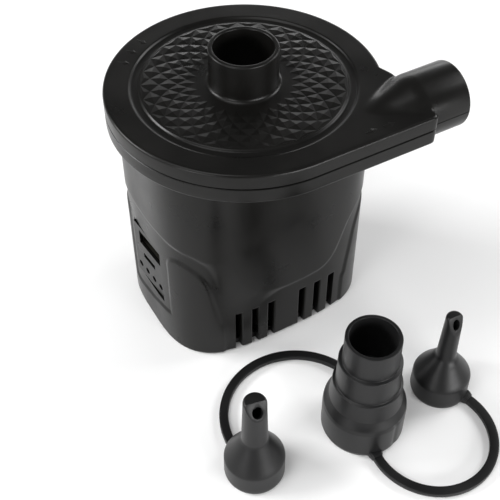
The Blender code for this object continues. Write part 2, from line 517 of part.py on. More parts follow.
def tip_nozzle(name, side, x, y, turn, foot, end, slope, start, half):
    """A nozzle whose round neck narrows from foot to end and is closed by a flat top. One side of the end is cut
    off on a slant that begins at start, and an oval window in that face, half wide to each side, opens into the bore."""
    at = (x - ADAPTER_X, y - ADAPTER_Y, 0)
    o = turned(name, [(0, TIP_H), (end - 0.5, TIP_H), (end, TIP_H - 0.7), (foot, 17.0), (foot + 0.3, 16.2), (8.4, 8.8), (TIP_R, 7.8), (TIP_R, 1.2), (8.5, 0),
                      (7.4, 0), (7.3, 7.0), (6.3, 9.4), (3.9, 13.2), (foot - 1.6, 15.5), (end - 1.15, TIP_H - 4.5), (0, TIP_H - 4.5)],
               PVC, at=at, steps=24, parent=nozzles)
    fuse(o, lugs[side][1])
    mid = start + WINDOW_DROP * math.tan(slope)

    def out(d):
        r = mid + d * math.cos(slope)
        return Vector((at[0] + r * math.cos(turn), at[1] + r * math.sin(turn), TIP_H - WINDOW_DROP + d * math.sin(slope))) * MM
    flat = box(name + "_flat", (-3, -6, -7), (3, 6, 7), parent=nozzles, turn=(0, -slope, turn))
    flat.location = out(3.0)
    window = rod(name + "_window", 1.0, -2.7, 2.7, parent=nozzles, segments=20)
    window.location, window.rotation_euler, window.scale = out(-0.3), (0, math.pi / 2 - slope, turn), (WINDOW_HALF, half, 1)
    cut(o, flat, window)
    return o


tip_nozzle("valve_nozzle_left", "left", LEFT_X, LEFT_Y, math.radians(-101), 3.8, 3.35, math.radians(29), 0.6, 1.5)
tip_nozzle("valve_nozzle_right", "right", RIGHT_X, RIGHT_Y, math.radians(-93), 3.0, 2.5, math.radians(20), 0.3, 1.15)
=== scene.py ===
"""Looks of the electric air mattress pump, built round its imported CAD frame."""

import json
import math

import bmesh
import bpy
import numpy as np
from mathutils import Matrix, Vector


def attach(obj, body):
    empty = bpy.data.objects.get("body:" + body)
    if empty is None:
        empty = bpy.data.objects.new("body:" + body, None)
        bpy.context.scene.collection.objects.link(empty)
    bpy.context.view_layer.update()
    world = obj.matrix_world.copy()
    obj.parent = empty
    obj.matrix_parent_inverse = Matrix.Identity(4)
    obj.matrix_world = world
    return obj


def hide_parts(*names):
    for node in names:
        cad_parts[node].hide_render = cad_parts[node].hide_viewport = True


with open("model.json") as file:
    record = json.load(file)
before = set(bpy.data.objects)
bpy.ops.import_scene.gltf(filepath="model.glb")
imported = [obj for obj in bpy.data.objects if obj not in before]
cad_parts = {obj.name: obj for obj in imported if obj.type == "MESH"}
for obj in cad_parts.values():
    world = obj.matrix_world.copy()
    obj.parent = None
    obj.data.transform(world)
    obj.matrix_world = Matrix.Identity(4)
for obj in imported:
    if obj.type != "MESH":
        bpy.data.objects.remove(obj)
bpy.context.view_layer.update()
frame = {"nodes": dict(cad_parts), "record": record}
MM = 0.001
TAU = math.tau
scene = bpy.context.scene

# ------------------------------------------------------------------------------ the CAD's numbers
RIM_R, TOP_Z, SEAM_Z, RIM_Z = 40.0, 82.6, 77.8, 72.8
FRONT_Y, BLOCK_X = -40.1, 39.2
SPOUT_Y, SPOUT_Z, SPOUT_R, SPOUT_BORE, SPOUT_X = -28.3, 77.7, 9.8, 7.9, 52.0
HOOD_X, HOOD_R = 25.0, 4.9
COLLAR_R, COLLAR_BORE, COLLAR_Z = 10.0, 8.6, 94.4
GROOVE_IN, GROOVE_OUT, GROOVE_DEEP = 29.8, 32.4, 0.7
BODY_A, BODY_C, BODY_N = 35.0, 28.0, 3.35
SLOT_W, SLOT_TOP, SLOT_X = 2.2, 17.0, (5.7, 11.4, 17.0)
PORT_Y0, PORT_Y1, PORT_Z0, PORT_Z1 = -8.95, 9.25, 15.0, 37.4
SWITCH_Z = 45.0
ADAPTER = (1.4, -69.5)
RIGHT, LEFT = (29.7, -70.5), (-34.8, -67.3)
ADAPTER_R, ADAPTER_H, TIP_R, TIP_H = 12.4, 41.5, 8.9, 34.5
STRAP_W, STRAP_T, GAP = 2.8, 1.7, 0.3
RIGHT_LOOP, LEFT_LOOP = (16.4, -84.7, 18.4), (-14.4, -58.2, 22.5)


# ------------------------------------------------------------------------------ camera
def aim(azimuth, elevation):
    a, e = math.radians(azimuth), math.radians(elevation)
    return Vector((math.sin(a) * math.cos(e), -math.cos(a) * math.cos(e), math.sin(e)))


cam = bpy.data.cameras.new("camera")
cam.sensor_width, cam.lens = 36.0, 960.8 * 36 / 500
cam.clip_start, cam.clip_end = 0.01, 20
camera = bpy.data.objects.new("camera", cam)
camera.location = (-0.1081, -0.1932, 0.2487)
camera.rotation_mode = "QUATERNION"
camera.rotation_quaternion = aim(-29.69, 46.85).to_track_quat("Z", "Y")
scene.collection.objects.link(camera)
scene.camera = camera


# ------------------------------------------------------------------------------ materials
def principled(name):
    m = bpy.data.materials.new(name)
    m.use_nodes = True
    return m, m.node_tree, m.node_tree.nodes["Principled BSDF"]


def mottled(name, dark, light, rough, metallic=0.0, scale=900.0, bump=0.05, grain=4200.0, distance=0.00006,
            specular=0.5, coat=0.0, coat_rough=0.2, sheen=0.0, anisotropic=0.0, stretch=(1, 1, 1)):
    """Moulded or machined surface: a slow drift of tone and gloss over a fine grain that bumps it."""
    m, t, s = principled(name)
    s.inputs["Metallic"].default_value = metallic
    s.inputs["Specular IOR Level"].default_value = specular
    s.inputs["Coat Weight"].default_value = coat
    s.inputs["Coat Roughness"].default_value = coat_rough
    s.inputs["Sheen Weight"].default_value = sheen
    s.inputs["Anisotropic"].default_value = anisotropic
    n = t.nodes.new
    co, mp = n("ShaderNodeTexCoord"), n("ShaderNodeMapping")
    mp.inputs["Scale"].default_value = stretch
    t.links.new(co.outputs["Object"], mp.inputs["Vector"])
    drift, fine = n("ShaderNodeTexNoise"), n("ShaderNodeTexNoise")
    drift.inputs["Scale"].default_value, drift.inputs["Detail"].default_value = scale / 12, 5
    fine.inputs["Scale"].default_value, fine.inputs["Detail"].default_value = grain, 3
    for x in (drift, fine):
        t.links.new(mp.outputs["Vector"], x.inputs["Vector"])
    tone = n("ShaderNodeValToRGB")
    tone.color_ramp.elements[0].position, tone.color_ramp.elements[1].position = 0.3, 0.72
    tone.color_ramp.elements[0].color, tone.color_ramp.elements[1].color = (*dark, 1), (*light, 1)
    t.links.new(drift.outputs["Fac"], tone.inputs["Fac"])
    t.links.new(tone.outputs["Color"], s.inputs["Base Color"])
    gloss = n("ShaderNodeMapRange")
    gloss.inputs["From Min"].default_value, gloss.inputs["From Max"].default_value = 0.3, 0.7
    gloss.inputs["To Min"].default_value, gloss.inputs["To Max"].default_value = rough - 0.05, rough + 0.05
    t.links.new(drift.outputs["Fac"], gloss.inputs["Value"])
    t.links.new(gloss.outputs["Result"], s.inputs["Roughness"])
    b = n("ShaderNodeBump")
    b.inputs["Strength"].default_value, b.inputs["Distance"].default_value = bump, distance
    t.links.new(fine.outputs["Fac"], b.inputs["Height"])
    t.links.new(b.outputs["Normal"], s.inputs["Normal"])
    return m


ABS = mottled("satin_abs", (0.0034, 0.0033, 0.0030), (0.0056, 0.0053, 0.0048), 0.31, bump=0.22, specular=0.21)
ABS_IN = mottled("inner_abs", (0.018, 0.018, 0.018), (0.028, 0.028, 0.028), 0.5, bump=0.25)
GLOSSY = mottled("rocker_gloss", (0.010, 0.010, 0.010), (0.015, 0.015, 0.015), 0.16, bump=0.04, coat=0.3)
PVC = mottled("soft_vinyl", (0.0048, 0.0048, 0.0050), (0.0080, 0.0080, 0.0083), 0.38, bump=0.3, grain=3300, specular=0.26, sheen=0.02)
STEEL = mottled("zinc_steel", (0.40, 0.40, 0.39), (0.58, 0.58, 0.57), 0.34, 1.0, bump=0.12, stretch=(1, 1, 9))
BRONZE = mottled("sintered_bronze", (0.33, 0.22, 0.10), (0.50, 0.34, 0.17), 0.45, 1.0, bump=0.4)
COPPER = mottled("bare_copper", (0.60, 0.30, 0.17), (0.78, 0.43, 0.25), 0.33, 1.0, bump=0.15)
FERRITE = mottled("ferrite", (0.035, 0.035, 0.04), (0.07, 0.07, 0.075), 0.72, bump=0.5)
LAMINATE = mottled("laminations", (0.22, 0.22, 0.23), (0.38, 0.38, 0.39), 0.42, 1.0, bump=0.5, stretch=(1, 1, 30))
NYLON = mottled("natural_nylon", (0.62, 0.61, 0.57), (0.78, 0.77, 0.73), 0.45, bump=0.15)
SLEEVE = mottled("cell_sleeve", (0.03, 0.18, 0.36), (0.06, 0.27, 0.50), 0.26, bump=0.1, coat=0.4)
NICKEL = mottled("nickel_strip", (0.48, 0.46, 0.41), (0.68, 0.66, 0.60), 0.28, 1.0, bump=0.1)
BOARD = mottled("circuit_board", (0.012, 0.12, 0.05), (0.025, 0.19, 0.085), 0.4, bump=0.3)
CHIP = mottled("chip_mould", (0.015, 0.015, 0.015), (0.028, 0.028, 0.028), 0.5, bump=0.4)
LENS = mottled("smoked_lens", (0.004, 0.004, 0.0045), (0.007, 0.007, 0.008), 0.3, bump=0.02, specular=0.3)
GOLD = mottled("gold_contacts", (0.62, 0.42, 0.14), (0.85, 0.60, 0.24), 0.3, 1.0, bump=0.08)
RED = mottled("red_insulation", (0.38, 0.012, 0.012), (0.52, 0.025, 0.025), 0.42, bump=0.15)
DARK = mottled("black_insulation", (0.013, 0.013, 0.013), (0.024, 0.024, 0.024), 0.42, bump=0.15)
# steel darkened far below the bare zinc steel: painted shade for the inside of the USB port, not the plating's own
# colour
PLATING_PAINTED_SHADE = mottled("dull_plating", (0.05, 0.047, 0.040), (0.09, 0.085, 0.072), 0.5, 1.0, bump=0.1)

SLOT_MATERIAL = {"abs_shell": ABS, "abs_inner": ABS_IN, "rocker": GLOSSY, "soft_pvc": PVC, "zinc_steel": STEEL, "bronze": BRONZE,
                 "copper": COPPER, "ferrite": FERRITE, "laminations": LAMINATE, "nylon": NYLON, "cell_sleeve": SLEEVE,
                 "nickel": NICKEL, "circuit_board": BOARD, "chip": CHIP, "lens": LENS, "wire_red": RED, "wire_black": DARK, "dull_plating": PLATING_PAINTED_SHADE}


# ------------------------------------------------------------------------------ mesh helpers
def piece(name, verts, faces, mat, body, angle=35, parts=()):
    """A mesh piece in millimetres that rides on a body and stands for CAD nodes."""
    mesh = bpy.data.meshes.new(name)
    mesh.from_pydata([tuple(c * MM for c in v) for v in verts], [], faces)
    mesh.validate()
    o = bpy.data.objects.new(name, mesh)
    scene.collection.objects.link(o)
    tidy(o, angle)
    mesh.materials.append(mat)
    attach(o, body)
    if parts:
        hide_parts(*parts)
    return o


def tidy(o, angle):
    bm = bmesh.new()
    bm.from_mesh(o.data)
    bmesh.ops.remove_doubles(bm, verts=bm.verts, dist=2e-6)
    bmesh.ops.recalc_face_normals(bm, faces=bm.faces)
    bm.to_mesh(o.data)
    bm.free()
    o.data.shade_smooth()
    o.data.set_sharp_from_angle(angle=math.radians(angle))


def rings(loops, closed=False, start=0):
    """Quads between loops of the same length, each loop going all the way round."""
    n, faces = len(loops[0]), []
    pairs = list(zip(range(len(loops) - 1), range(1, len(loops)))) + ([(len(loops) - 1, 0)] if closed else [])
    for a, b in pairs:
        for i in range(n):
            j = (i + 1) % n
            faces.append((start + a * n + i, start + a * n + j, start + b * n + j, start + b * n + i))
    return [p for loop in loops for p in loop], faces


def rounded(profile, radius=0.35, steps=4, closed=True):
    """The profile with its corners rounded."""
    out, n = [], len(profile)
    for i in range(n):
        p = np.array(profile[i], float)
        if not closed and i in (0, n - 1):
            out.append(tuple(p))
            continue
        a, b = np.array(profile[i - 1], float) - p, np.array(profile[(i + 1) % n], float) - p
        la, lb = np.linalg.norm(a), np.linalg.norm(b)
        r = min(radius, la * 0.42, lb * 0.42)
        p0, p1 = p + a / la * r, p + b / lb * r
        for k in range(steps + 1):
            t = k / steps
            out.append(tuple((1 - t) ** 2 * p0 + 2 * t * (1 - t) * p + t * t * p1))
    return out


def revolve(profile, centre=(0, 0), n=128, wobble=None):
    """Loops of a turned shape about a vertical axis. wobble(angle, r, z) changes the radius."""
    loops = []
    for r, z in profile:
        loop = []
        for i in range(n):
            a = TAU * i / n
            q = r if wobble is None else wobble(a, r, z)
            loop.append((centre[0] + q * math.cos(a), centre[1] + q * math.sin(a), z))
        loops.append(loop)
    return loops


def smax(a, b, k):
    """The larger of two heights, with a fillet of about k where they cross."""
    h = max(k - abs(a - b), 0) / k
    return max(a, b) + h * h * k / 4


# ------------------------------------------------------------------------------ tethers
def along(loop, start, stop, n):
    x, y, r = loop
    return [(x + r * math.cos(start + (stop - start) * i / n), y + r * math.sin(start + (stop - start) * i / n)) for i in range(n + 1)]


def clear_of(loop, angle, step, centre, r):
    while True:
        x, y = loop[0] + loop[2] * math.cos(angle), loop[1] + loop[2] * math.sin(angle)
        if math.hypot(x - centre[0], y - centre[1]) >= r:
            return angle
        angle += step


ENDS = {}
for side, loop, tip, a0, a1 in (("right", RIGHT_LOOP, RIGHT, math.radians(165), math.radians(385)),
                                ("left", LEFT_LOOP, LEFT, math.radians(-10), math.radians(195))):
    step = math.radians(0.1)
    s0 = clear_of(loop, a0, step, ADAPTER, ADAPTER_R + 1.3)
    s1 = clear_of(loop, a1, -step, tip, TIP_R + 1.3)
    ENDS[side] = (loop, s0, s1, tip)
    section = rounded([(-STRAP_W / 2, 0.0), (STRAP_W / 2, 0.0), (STRAP_W / 2, STRAP_T), (-STRAP_W / 2, STRAP_T)], 0.32, 3)
    # the strap runs on into its two lugs, so that no gap shows between them
    pad0, pad1 = 0.5 / loop[2], 0.5 / loop[2]
    count, loops, mid = 96, [], []
    for i in range(count + 1):
        a = s0 - pad0 + (s1 + pad1 - s0 + pad0) * i / count
        loops.append([(loop[0] + (loop[2] + u) * math.cos(a), loop[1] + (loop[2] + u) * math.sin(a), w) for u, w in section])
        mid.append((loop[0] + loop[2] * math.cos(a), loop[1] + loop[2] * math.sin(a), STRAP_T / 2))
    verts, faces = [p for l in loops for p in l], []
    m = len(section)
    for i in range(count):
        for k in range(m):
            faces.append((i * m + k, i * m + (k + 1) % m, (i + 1) * m + (k + 1) % m, (i + 1) * m + k))
    faces += [tuple(range(m))[::-1], tuple(range(count * m, count * m + m))]
    strap = piece("strap_" + side, verts, faces, PVC, "nozzle_set", 50, ["tether_" + side])

# ------------------------------------------------------------------------------ outlines
HEAD_N = 720


def head_polygon(inset, n=360):
    r = RIM_R - inset
    first, last = math.radians(-19.5), math.radians(270)
    pts = [(r * math.cos(first + (last - first) * i / n), r * math.sin(first + (last - first) * i / n)) for i in range(n + 1)]
    x, y, c = BLOCK_X - inset, FRONT_Y + inset, 1.6
    pts += [(x - c + c * math.sin(t), y + c - c * math.cos(t)) for t in [math.pi / 2 * k / 8 for k in range(9)]]
    notch = r * math.sin(first)
    pts += [(x, notch - 5.8), (x - 0.06, notch - 4.6), (x - 0.3, notch - 3.5), (x - 0.65, notch - 2.5), (x - 1.0, notch - 1.5), (x - 1.3, notch - 0.7)]
    return np.array(pts)


def star_radius(poly, angles):
    """Where rays from the middle meet a closed outline."""
    out = np.zeros(len(angles))
    p, q = poly, np.roll(poly, -1, axis=0)
    for i, a in enumerate(angles):
        d = np.array((math.cos(a), math.sin(a)))
        cr = lambda u, v: u[..., 0] * v[..., 1] - u[..., 1] * v[..., 0]
        e = q - p
        den = cr(np.broadcast_to(d, e.shape), e)
        with np.errstate(divide="ignore", invalid="ignore"):
            t = cr(p, e) / den
            u = cr(p, np.broadcast_to(d, p.shape)) / den
        ok = (np.abs(den) > 1e-9) & (t > 0) & (u >= -1e-6) & (u <= 1 + 1e-6)
        out[i] = t[ok].max()
    return out


ANGLES = np.array([TAU * i / HEAD_N for i in range(HEAD_N)])
_head = {}


def head_loop(inset):
    key = round(inset, 4)
    if key not in _head:
        _head[key] = star_radius(head_polygon(inset), ANGLES)
    return _head[key]


def hood_height(x, y, sign=1):
    """Height of the hood's cone over, or under, the point."""
    if x < HOOD_X - 6:
        return None
    # the cone runs tangentially into the pipe over its last third
    u = 1 - (min(x, BLOCK_X) - HOOD_X) / (BLOCK_X - HOOD_X)
    t = 1 - u * u / 0.6 / 0.85 if u < 0.3 else 1 - (u - 0.15) / 0.85
    r = HOOD_R + (SPOUT_R - HOOD_R) * t
    d = r * r - (y - SPOUT_Y) ** 2
    return SPOUT_Z + sign * math.sqrt(d) if d > 0 else None


# ------------------------------------------------------------------------------ top cover
def lid_height(x, y, base):
    h = hood_height(x, y)
    return base if h is None else smax(base, h, 1.5)


EDGE = 0.95
EDGE_STEPS = [EDGE * (1 - math.cos(math.pi / 2 * k / 8)) for k in range(9)] + [1.5, 2.0]


def fillet(inset, top, down, r=EDGE):
    """Height of a rounded edge at an inset from the outline. down is -1 for an edge that turns down."""
    if inset >= r:
        return top
    return top + down * (r - math.sqrt(max(r * r - (r - inset) ** 2, 0)))


lid_loops = []
for inset, z in ((2.0, SEAM_Z + 0.15), (0.18, SEAM_Z + 0.15), (0.0, SEAM_Z + 0.33), (0.0, SEAM_Z + 1.6)):
    r = head_loop(inset)
    lid_loops.append([(r[i] * math.cos(a), r[i] * math.sin(a), z) for i, a in enumerate(ANGLES)])
for inset in EDGE_STEPS:
    r = head_loop(inset)
    lid_loops.append([(r[i] * math.cos(a), r[i] * math.sin(a), lid_height(r[i] * math.cos(a), r[i] * math.sin(a), fillet(inset, TOP_Z, -1)))
                      for i, a in enumerate(ANGLES)])
edge_r = head_loop(2.0)
groove_outer = GROOVE_OUT + 0.55
for k in range(1, 29):
    t = k / 28
    rr = edge_r * (1 - t) + groove_outer * t
    lid_loops.append([(rr[i] * math.cos(a), rr[i] * math.sin(a), lid_height(rr[i] * math.cos(a), rr[i] * math.sin(a), TOP_Z))
                      for i, a in enumerate(ANGLES)])
groove = [(GROOVE_OUT + 0.3, TOP_Z - 0.05), (GROOVE_OUT + 0.08, TOP_Z - 0.2), (GROOVE_OUT - 0.1, TOP_Z - 0.45), (GROOVE_OUT - 0.35, TOP_Z - 0.64),
          (GROOVE_OUT - 0.7, TOP_Z - GROOVE_DEEP), (GROOVE_IN + 0.7, TOP_Z - GROOVE_DEEP), (GROOVE_IN + 0.35, TOP_Z - 0.64),
          (GROOVE_IN + 0.1, TOP_Z - 0.42), (GROOVE_IN - 0.06, TOP_Z - 0.18), (GROOVE_IN - 0.25, TOP_Z - 0.04), (GROOVE_IN - 0.5, TOP_Z)]
for r, z in groove:
    lid_loops.append([(r * math.cos(a), r * math.sin(a), z) for a in ANGLES])
verts, faces = rings(lid_loops)
lid = piece("lid_shell", verts, faces, ABS, "pump", 38, ["top_cover"])

# the textured disc: two crossing spirals of valleys with a low pyramid in each diamond
DIAMONDS, TEX_IN, TEX_OUT, PYRAMID = 28, 13.6, 29.3, 0.30
rows = 7
spacing = (TEX_OUT - TEX_IN) / (rows - 1)
verts, faces = [], []


def tex_vertex(r, a, z):
    verts.append((r * math.cos(a), r * math.sin(a), z))
    return len(verts) - 1


cell = TAU / DIAMONDS
valley, apex = {}, {}
for j in range(rows):
    r = TEX_IN + spacing * j
    for i in range(DIAMONDS):
        valley[j, i] = tex_vertex(r, (i + 0.5 * (j % 2)) * cell, TOP_Z)
        if 0 < j < rows - 1:
            apex[j, i] = tex_vertex(r, (i + 0.5 * ((j + 1) % 2)) * cell, TOP_Z + PYRAMID * (0.55 + 0.45 * min(1, j / 3)))
        elif j:
            # the outer row is cut by the ring, so its pyramids are halves
            apex[j, i] = tex_vertex(r - 0.32 * spacing, (i + 0.5 * ((j + 1) % 2)) * cell, TOP_Z + 0.6 * PYRAMID)
        else:
            apex[j, i] = tex_vertex(r, (i + 0.5 * ((j + 1) % 2)) * cell, TOP_Z)
for j in range(rows):
    for i in range(DIAMONDS):
        # the diamond round apex (j, i) has a corner on each side in its own row, and one in the rows above and below
        if j % 2 == 0:
            left, right, near = valley[j, i], valley[j, (i + 1) % DIAMONDS], i
        else:
            left, right, near = valley[j, (i - 1) % DIAMONDS], valley[j, i], i
        c = apex[j, i]
        if j + 1 < rows:
            up = valley[j + 1, near]
            faces += [(left, c, up), (c, right, up)]
        if j > 0:
            down = valley[j - 1, near]
            faces += [(left, down, c), (c, down, right)]
        if j == rows - 1:
            faces.append((left, c, right))
texture = piece("lid_texture", verts, faces, ABS, "pump", 4)
texture.data.shade_flat()

# smooth ground under and inside the texture, running up the collar, over its lip and down the bore
collar = [(GROOVE_IN - 0.5, TOP_Z), (GROOVE_IN - 0.7, TOP_Z - 0.02), (TEX_IN, TOP_Z - 0.02), (TEX_IN - 0.3, TOP_Z), (COLLAR_R + 1.3, TOP_Z)]
collar += [(COLLAR_R + 1.3 - 1.3 * math.sin(t), TOP_Z + 1.3 - 1.3 * math.cos(t)) for t in [math.pi / 2 * k / 8 for k in range(1, 9)]]
collar += [(COLLAR_R, COLLAR_Z - 0.55)]
collar += [(COLLAR_R - 0.5 + 0.5 * math.cos(t), COLLAR_Z - 0.5 + 0.5 * math.sin(t)) for t in [math.pi / 2 * k / 5 for k in range(1, 6)]]
collar += [(COLLAR_BORE + 0.4 - 0.4 * math.sin(t), COLLAR_Z - 0.4 + 0.4 * math.cos(t)) for t in [math.pi / 2 * k / 5 for k in range(0, 6)]]
collar += [(COLLAR_BORE, TOP_Z - 2.0)]
verts, faces = rings(revolve(collar, n=192))
piece("inlet_collar", verts, faces, ABS, "pump", 40)


# ------------------------------------------------------------------------------ spout
def half_pipe(name, start, stop):
    """Half of the spout, with its lip rounded, between two angles about its axis."""
    outer = [(BLOCK_X - 0.05, SPOUT_R - 0.01), (51.4, SPOUT_R)] + [(51.4 + 0.6 * math.sin(t), SPOUT_R - 0.6 + 0.6 * math.cos(t)) for t in [math.pi / 2 * k / 5 for k in range(1, 6)]]
    inner = [(51.4 + 0.6 * math.cos(t), SPOUT_BORE + 0.6 - 0.6 * math.sin(t)) for t in [math.pi / 2 * k / 5 for k in range(1, 6)]] + [(BLOCK_X - 0.5, SPOUT_BORE)]
    prof, n, verts, faces = outer + inner, 72, [], []
    for i in range(n + 1):
        a = start + (stop - start) * i / n
        verts += [(x, SPOUT_Y + r * math.cos(a), SPOUT_Z + r * math.sin(a)) for x, r in prof]
    m = len(prof)
    for i in range(n):
        for k in range(m - 1):
            faces.append((i * m + k, i * m + k + 1, (i + 1) * m + k + 1, (i + 1) * m + k))
    faces += [tuple(range(m)), tuple(range(n * m, n * m + m))[::-1]]
    return piece(name, verts, faces, ABS, "pump", 40)


seam = 0.012
half_pipe("spout_upper", seam, math.pi - seam)
half_pipe("spout_lower", math.pi + seam, TAU - seam)


# ------------------------------------------------------------------------------ main housing: head rim
def floor_height(x, y, base):
    h = hood_height(x, y, -1)
    return base if h is None else -smax(-base, -h, 1.5)


def body_radius(angles, inset=0.0):
    a, c = BODY_A - inset, BODY_C - inset
    return 1 / (np.abs(np.cos(angles) / a) ** BODY_N + np.abs(np.sin(angles) / c) ** BODY_N) ** (1 / BODY_N)


rim_loops = []
for inset, z in ((2.0, SEAM_Z - 0.15), (0.18, SEAM_Z - 0.15), (0.0, SEAM_Z - 0.33), (0.0, SEAM_Z - 2.2)):
    r = head_loop(inset)
    rim_loops.append([(r[i] * math.cos(a), r[i] * math.sin(a), z) for i, a in enumerate(ANGLES)])
for inset in EDGE_STEPS:
    r = head_loop(inset)
    rim_loops.append([(r[i] * math.cos(a), r[i] * math.sin(a), floor_height(r[i] * math.cos(a), r[i] * math.sin(a), fillet(inset, RIM_Z, 1)))
                      for i, a in enumerate(ANGLES)])
inner_r = body_radius(ANGLES) - 0.6
for k in range(1, 25):
    t = k / 24
    rr = edge_r * (1 - t) + inner_r * t
    rim_loops.append([(rr[i] * math.cos(a), rr[i] * math.sin(a), floor_height(rr[i] * math.cos(a), rr[i] * math.sin(a), RIM_Z))
                      for i, a in enumerate(ANGLES)])
verts, faces = rings(rim_loops)
piece("head_rim", verts, faces, ABS, "pump", 38)

# ------------------------------------------------------------------------------ main housing: body
# the waist line, seen from the front and mirrored on the other side: high on the flanks, low across the front
WAIST = [(0, 22.9), (7.0, 23.2), (11.6, 23.8), (14.3, 25.2), (16.6, 27.8), (18.3, 31.1), (20.1, 35.2), (21.8, 38.4), (24.3, 41.2), (26.6, 43.0)]
FLANK = [(22.2, 44.9), (20.2, 45.7), (15.9, 46.7), (9.5, 47.4), (4.6, 47.1), (0.0, 46.9)]
PILLAR_FRONT = [(22.1, -3.0), (22.1, 11.0), (23.0, 14.2), (23.7, 18.8), (24.7, 23.7), (26.4, 32.1)]
PILLAR_FLANK = [(22.4, 37.4), (19.4, 39.9), (16.4, 40.1), (13.5, 37.6), (13.3, 30.0), (13.3, -3.0)]
FOOT = [(13.5, 13.6), (10.4, 13.0), (6.6, 12.4), (2.1, 10.9), (-3.4, 9.8), (-8.6, 8.5), (-13.5, 8.0)]
RECESS_SIDE, RECESS_FRONT = 0.5, 0.55

# a quarter of the outline, as the distance round it from the middle of the front to the middle of a flank
_t = np.linspace(0, math.pi / 2, 4001)
QX, QY = BODY_A * np.sin(_t) ** (2 / BODY_N), BODY_C * np.cos(_t) ** (2 / BODY_N)
QS = np.concatenate([[0], np.cumsum(np.hypot(np.diff(QX), np.diff(QY)))])


def from_x(v):
    return float(np.interp(v, QX, QS))


def from_y(v):
    return float(np.interp(v, QY[::-1], QS[::-1]))


def flowing(pts, n=10):
    """A smooth line through the points."""
    pts = [np.array(p, float) for p in pts]
    pts = [2 * pts[0] - pts[1]] + pts + [2 * pts[-1] - pts[-2]]
    out = []
    for k in range(1, len(pts) - 2):
        p0, p1, p2, p3 = pts[k - 1:k + 3]
        for i in range(n):
            t = i / n
            out.append(0.5 * (2 * p1 + (p2 - p0) * t + (2 * p0 - 5 * p1 + 4 * p2 - p3) * t * t + (3 * p1 - p0 - 3 * p2 + p3) * t ** 3))
    return np.array(out + [pts[-2]])


def distance(s, z, line):
    """How far each point of the unrolled wall is from a line on it."""
    best = np.full(s.shape, 1e9)
    for a, b in zip(line[:-1], line[1:]):
        d = b - a
        q = max(float(d @ d), 1e-12)
        t = np.clip(((s - a[0]) * d[0] + (z - a[1]) * d[1]) / q, 0, 1)
        best = np.minimum(best, np.hypot(s - a[0] - t * d[0], z - a[1] - t * d[1]))
    return best


def ease(a, b, v):
    t = np.clip((v - a) / (b - a), 0, 1)
    return t * t * (3 - 2 * t)


WAIST_LINE = flowing([(from_x(x), z) for x, z in WAIST] + [(from_y(y), z) for y, z in FLANK])
PILLAR_LINE = flowing([(from_x(x), z) for x, z in PILLAR_FRONT] + [(from_y(y), z) for y, z in PILLAR_FLANK])


def within(s, z, line):
    """Whether each point lies inside a closed line."""
    inside = np.zeros(s.shape, bool)
    for a, b in zip(line, np.roll(line, -1, axis=0)):
        if a[1] == b[1]:
            continue
        hit = ((a[1] > z) != (b[1] > z)) & (s < (b[0] - a[0]) * (z - a[1]) / (b[1] - a[1]) + a[0])
        inside ^= hit
    return inside


def relief(x, y, z):
    """How far the wall is set in: the band between the waist line and the corner pillars is recessed."""
    s = np.interp(np.arctan2(np.abs(x), np.abs(y)), np.arctan2(QX, QY), QS)
    front = ease(15.0, 25.5, np.abs(y))
    depth = RECESS_SIDE + (RECESS_FRONT - RECESS_SIDE) * front
    # the step under the waist line is crisp on the right of each long side and dies away softly on the left
    soft = np.where(x * np.sign(y) > 0, ease(2.0, 14.0, np.abs(x)) * (1 - ease(21.5, 27.5, np.abs(x))), 0.0) * front
    d = distance(s, z, WAIST_LINE) * np.where(z > np.interp(s, WAIST_LINE[:, 0], WAIST_LINE[:, 1]), 1, -1)
    low, high = -1.5 - 5.0 * soft, 0.1 + 2.4 * soft
    below = 1 - 0.6 * np.clip((d - low) / (high - low), 0, 1) - 0.4 * ease(low, high, d)
    d = distance(s, z, PILLAR_LINE) * np.where(within(s, z, PILLAR_LINE), 1, -1)
    corner = ease(-1.0, 0.5, d)
    # the foot of the flank, under the ports, stands out again
    side = np.where(y < 0, np.abs(y), -np.abs(y))
    foot_z = np.interp(side, [p[0] for p in FOOT[::-1]], [p[1] for p in FOOT[::-1]])
    foot = (1 - ease(-0.6, 0.4, z - foot_z)) * (np.abs(y) < 14.5) * (np.abs(x) > 20)
    return depth * below * (1 - np.maximum(corner, foot))


def perimeter():
    """Points round the body, close together, with a column on each edge of the slots, the port window and the switch window."""
    dense = np.array([TAU * i / 20000 for i in range(20000)])
    r = body_radius(dense)
    x, y = r * np.cos(dense), r * np.sin(dense)
    s = np.concatenate([[0], np.cumsum(np.hypot(np.diff(x), np.diff(y)))])
    total = s[-1] + math.hypot(x[0] - x[-1], y[0] - y[-1])
    marks = []
    for c in [q * v for q in (-1, 1) for v in SLOT_X]:
        for w in (-SLOT_W / 2 - 0.22, SLOT_W / 2 + 0.22):
            k = np.argmin(np.where(y < 0, np.abs(x - c - w), 99))
            marks.append(s[k])
    for w in (-4.4, 4.4):
        marks.append(s[np.argmin(np.where(y > 0, np.abs(x - w), 99))])
    for w in (PORT_Y0, PORT_Y1):
        marks.append(s[np.argmin(np.where(x < 0, np.abs(y - w), 99))])
    marks = sorted(marks)
    cols = []
    for a, b in zip(marks, marks[1:] + [marks[0] + total]):
        n = max(2, int(round((b - a) / 0.4)))
        cols += [a + (b - a) * k / n for k in range(n)]
    cols = np.array(sorted(c % total for c in cols))
    return np.interp(cols, s, x), np.interp(cols, s, y)


